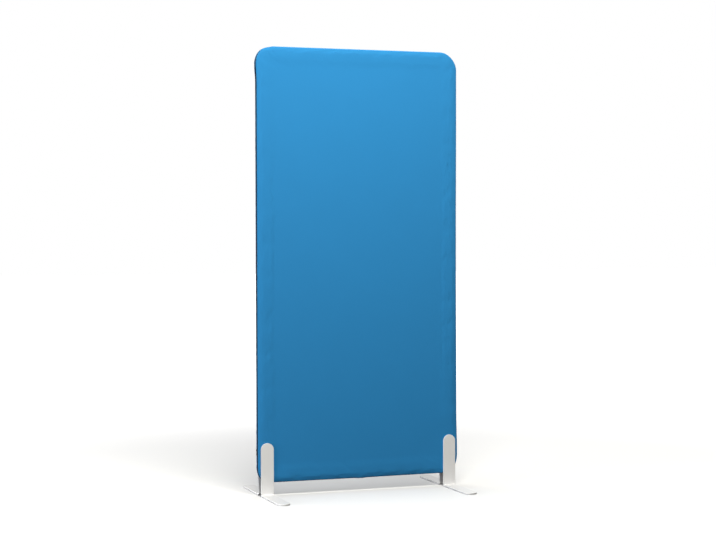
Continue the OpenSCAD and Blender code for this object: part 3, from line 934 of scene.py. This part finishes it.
def model_tooth():
    """One moulded tooth: a block that grips the tape, a narrow neck and a rounded head towards the middle."""
    tooth = box_start("tooth", TOOTH_SIZE, TOOTH_PLACE)
    pick(tooth, "FACE", lambda f: f.normal.y < -0.9)
    for step, wide, high in TOOTH_STEPS:
        bpy.ops.mesh.extrude_region_move(TRANSFORM_OT_translate={"value": (0, -step * MM, 0)})
        bpy.ops.transform.resize(value=(wide, 1, high))
    pick(tooth, "FACE", lambda f: f.normal.z > 0.9 and f.calc_center_median().y > 1.5 * MM)
    bpy.ops.mesh.inset(thickness=0.22 * MM, depth=0.1 * MM)
    pick(tooth, "FACE", lambda f: f.normal.y > 0.9)
    bpy.ops.mesh.inset(thickness=0.2 * MM, depth=0.15 * MM)
    deselect()
    return tooth


def model_stitch(length, radius):
    """One stitch: a short bead of thread whose ends dive into the cloth."""
    deselect()
    turn = (0, math.pi / 2, 0)
    bpy.ops.mesh.primitive_cylinder_add(vertices=6, radius=radius, depth=length * 0.55, rotation=turn)
    stitch = bpy.context.object
    stitch.name = "stitch"
    bpy.ops.object.transform_apply(location=True, rotation=True, scale=True)
    work_on(stitch)
    for way in (-1, 1):
        pick(stitch, "FACE", lambda f: f.normal.x * way > 0.9)
        dive = (way * length * 0.2, 0, -radius * 0.8)
        bpy.ops.mesh.extrude_region_move(TRANSFORM_OT_translate={"value": dive})
        bpy.ops.transform.resize(value=(1, 0.5, 0.5))
    deselect()
    return stitch


ZIP_DEPTH = COVER_T + TAPE_T / 2
BEAD_HALF = 3.2 * MM
TAPE_BEAD, SEAM_BEAD = 0.12 * MM, 0.25 * MM


def tape_strip(name, across, bead, keep):
    """A strip of tape round the edge: the outline, extruded across the edge by steps, kept where a test says.

    Its middle stands out by a bead."""
    piece = outline(name, ZIP_DEPTH, across[0])
    bpy.ops.mesh.select_all(action="SELECT")
    for a, b in zip(across, across[1:]):
        bpy.ops.mesh.extrude_region_move(TRANSFORM_OT_translate={"value": (0, b - a, 0)})
    for place, normal in (((BOX_END_X, 0, 0), (1, 0, 0)), ((BOX_START_X, 0, 0), (1, 0, 0)),
                          ((0, 0, ZIP_END_Z), (0, 0, 1))):
        bpy.ops.mesh.select_all(action="SELECT")
        bpy.ops.mesh.bisect(plane_co=place, plane_no=normal)
    pick(piece, "FACE", lambda f: not keep(f.calc_center_median()))
    bpy.ops.mesh.delete(type="FACE")
    face_outwards(piece, lambda v: v.z)
    pick(piece, "VERT", lambda v: abs(v.co.y) < BEAD_HALF)
    bpy.ops.transform.shrink_fatten(value=bead)
    deselect()
    co = vertices(piece)
    lay_map(piece, np.stack([edge_run(co, ZIP_DEPTH), co[:, 1]], 1))
    move_vertices(piece, settle(co))
    apply_modifier(piece, "SOLIDIFY", thickness=TAPE_T, offset=0.0, use_even_offset=True)
    smooth(piece, 40)
    return piece


def on_zip(c):
    """Where the edge opens: all of it but the stretch from the start box round the corner to the stops."""
    return not (c.x < BOX_END_X and c.z < ZIP_END_Z)


def on_seam(c):
    """Where the edge stays sewn: from the start box to the stops."""
    return c.x < BOX_START_X and c.z < ZIP_END_Z


TOOTH_PITCH = 2.4 * MM
TOOTH_CLEAR = 0.8 * MM
# Where the tapes' lines lie across the edge, in mm from its middle
TAPE_ACROSS = (11, 8.6, 6.2, 4.4, 3.1, 2.1)
SEAM_ACROSS = (-11, -8.6, -5.5, -2.6, -0.6, 0.6, 2.6, 5.5, 8.6, 11)


def make_zip():
    """Both tapes with their rows of teeth, half a pitch apart, and the sewn strip that closes the rest."""
    first = BOX_END_X + TOOTH_CLEAR
    left_top = 3 * RUN_X + 2 * RUN_Z + 3 * (CORNER_R - ZIP_DEPTH) * math.pi / 2
    last = left_top + (MID_Z + RUN_Z - ZIP_END_Z - STOP_LEN) - TOOTH_CLEAR
    count = int((last - first) / TOOTH_PITCH)
    for name, side, phase in (("front", -1, 0.0), ("rear", 1, 0.5)):
        ys = [y * MM * side for y in TAPE_ACROSS]
        tape = tape_strip(f"{name}_zip_tape_weave", ys, TAPE_BEAD, on_zip)
        add_piece(tape, TAPE, "zip_tape", "screen", f"{name}_zip_tape")
        run = first + (np.arange(count) + phase) * (last - first) / count
        teeth = row_of(f"{name}_zip_teeth_row", model_tooth(), run, 0.0, 0.0, side)
        smooth(teeth, 35)
        add_piece(teeth, TEETH, "zip_teeth", "screen", f"{name}_zip_teeth")
    seam = tape_strip("sewn_edge_strip", [y * MM for y in SEAM_ACROSS], SEAM_BEAD, on_seam)
    add_piece(seam, TAPE, "zip_tape", "screen", "closed_seam_tape")


STITCH_PITCH = 3.4 * MM
STITCH_LEN = 2.7 * MM
STITCH_R = 0.24 * MM
STITCH_PROUD = 0.05 * MM
STITCH_LEAN = math.radians(20)


def hem_stitches(name, side):
    """The row of stitches that holds the tape, beside the fold of the hem.

    It leans with the nose that it lies on."""
    total = edge_total()
    count = int(total / STITCH_PITCH)
    run = (np.arange(count) + 0.5) * total / count
    keep = (run > BOX_END_X) & (run < total + BOX_START_X)
    y = HEM_Y + NOSE_R * math.sin(STITCH_LEAN)
    depth = NOSE_R * (1 - math.cos(STITCH_LEAN)) - STITCH_PROUD
    stitches = row_of(name, model_stitch(STITCH_LEN, STITCH_R), run[keep], y, STITCH_LEAN, side)
    co = vertices(stitches)
    _, _, out = edge_place(np.clip(edge_run(co), 0, total))
    move_vertices(stitches, co - out * depth)
    smooth(stitches, 60)
    add_piece(stitches, THREAD, "cover", "screen")


make_zip()
hem_stitches("front_hem_stitches", -1)
hem_stitches("rear_hem_stitches", 1)


# Small rigid pieces

def eased(node, name, width, finish, slot, body):
    """A copy of a CAD solid with its sharp edges rounded."""
    deselect()
    piece = NODES[node].copy()
    piece.data = NODES[node].data.copy()
    piece.parent = None
    for key in [k for k in piece.keys() if k.startswith("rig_")]:
        del piece[key]
    piece.name = piece.data.name = name
    bpy.context.scene.collection.objects.link(piece)
    work_on(piece)
    bpy.ops.mesh.select_all(action="SELECT")
    bpy.ops.mesh.remove_doubles(threshold=MERGE)
    bpy.ops.mesh.dissolve_limited(angle_limit=math.radians(1))
    deselect()
    sharp = math.radians(35)
    apply_modifier(piece, "BEVEL", width=width, segments=2, limit_method="ANGLE", angle_limit=sharp)
    smooth_machined(piece, 32)
    add_piece(piece, finish, slot, body, node)


eased("zip_slider", "slider_body", 0.22 * MM, ENAMEL, "zip_metal", "slider")
eased("zip_puller", "slider_puller", 0.25 * MM, ENAMEL, "zip_metal", "puller")
eased("zip_start_box", "start_box_shell", 0.45 * MM, BOX, "zip_teeth", "screen")
eased("zip_end_stops", "end_stop_pair", 0.2 * MM, ENAMEL, "zip_metal", "screen")
for word in ("left", "right"):
    eased(f"{word}_foot_screws", f"{word}_button_screws", 0.2 * MM, POWDER, "powder_coat", "screen")


# Feet

END_CUTS = 14
BEND_CUTS = 8
HOLE_CUTS = 32
PLATE_EASE = 1.0 * MM
HOLE_EASE = 0.4 * MM


def bracket(name, side, way, node):
    """Flat steel bent once: a round-ended tongue, spun up through the bend, and an upright with a round end.

    It is modelled behind the panel. One in front is mirrored there and has no screw holes."""
    outer = BEND_R + FOOT_T
    bend_y, bend_z = FACE_Y + outer, PAD_T + outer
    length = FOOT_REACH - bend_y
    piece = plate(name, FOOT_W, length, (side * FOOT_X, bend_y + length / 2, PAD_T), (0, 0, 0))
    work_on(piece)
    pick(piece, "VERT", lambda v: v.co.y > FOOT_REACH - MM)
    bpy.ops.mesh.bevel(offset=FOOT_W / 2, offset_type="OFFSET", segments=END_CUTS, affect="VERTICES")
    pick(piece, "EDGE", lambda e: abs(middle(e).y - bend_y) < NEAR)
    pivot = (side * FOOT_X, bend_y, bend_z)
    bpy.ops.mesh.spin(steps=BEND_CUTS, angle=math.pi / 2, center=pivot, axis=(1, 0, 0))
    if not pick(piece, "EDGE",
                lambda e: abs(middle(e).z - bend_z) < NEAR and abs(middle(e).y - FACE_Y) < NEAR):
        raise ValueError(f"{name} isn't bent against the cover")
    bpy.ops.mesh.extrude_region_move(TRANSFORM_OT_translate={"value": (0, 0, FOOT_H - bend_z)})
    pick(piece, "VERT", lambda v: v.co.z > FOOT_H - MM)
    bpy.ops.mesh.bevel(offset=FOOT_W / 2, offset_type="OFFSET", segments=END_CUTS, affect="VERTICES")
    bpy.ops.mesh.select_all(action="SELECT")
    bpy.ops.mesh.remove_doubles(threshold=MERGE)
    face_outwards(piece, lambda v: -v.z)
    deselect()
    apply_modifier(piece, "SOLIDIFY", thickness=FOOT_T, offset=-1.0, use_even_offset=True)
    ease = dict(segments=3, limit_method="ANGLE", angle_limit=math.radians(40))
    apply_modifier(piece, "BEVEL", width=PLATE_EASE, **ease)
    if way > 0:
        for z in SCREW_Z:
            deselect()
            bpy.ops.mesh.primitive_cylinder_add(vertices=HOLE_CUTS, radius=SCREW_HOLE_R, depth=3 * FOOT_T,
                                                location=(side * FOOT_X, FACE_Y + FOOT_T / 2, z),
                                                rotation=(math.pi / 2, 0, 0))
            cutter = bpy.context.object
            apply_modifier(piece, "BOOLEAN", object=cutter, operation="DIFFERENCE", solver="EXACT")
            bpy.data.objects.remove(cutter)
        apply_modifier(piece, "BEVEL", width=HOLE_EASE, **ease)
    else:
        select_only(piece)
        piece.scale = (1, -1, 1)
        bpy.ops.object.transform_apply(location=False, rotation=False, scale=True)
        work_on(piece)
        bpy.ops.mesh.select_all(action="SELECT")
        bpy.ops.mesh.normals_make_consistent(inside=False)
    smooth_machined(piece, 35)
    add_piece(piece, POWDER, "powder_coat", "screen", node)


for side, word in ((-1, "left"), (1, "right")):
    bracket(f"{word}_front_bracket", side, -1, f"{word}_front_foot")
    bracket(f"{word}_rear_bracket", side, 1, f"{word}_rear_foot")
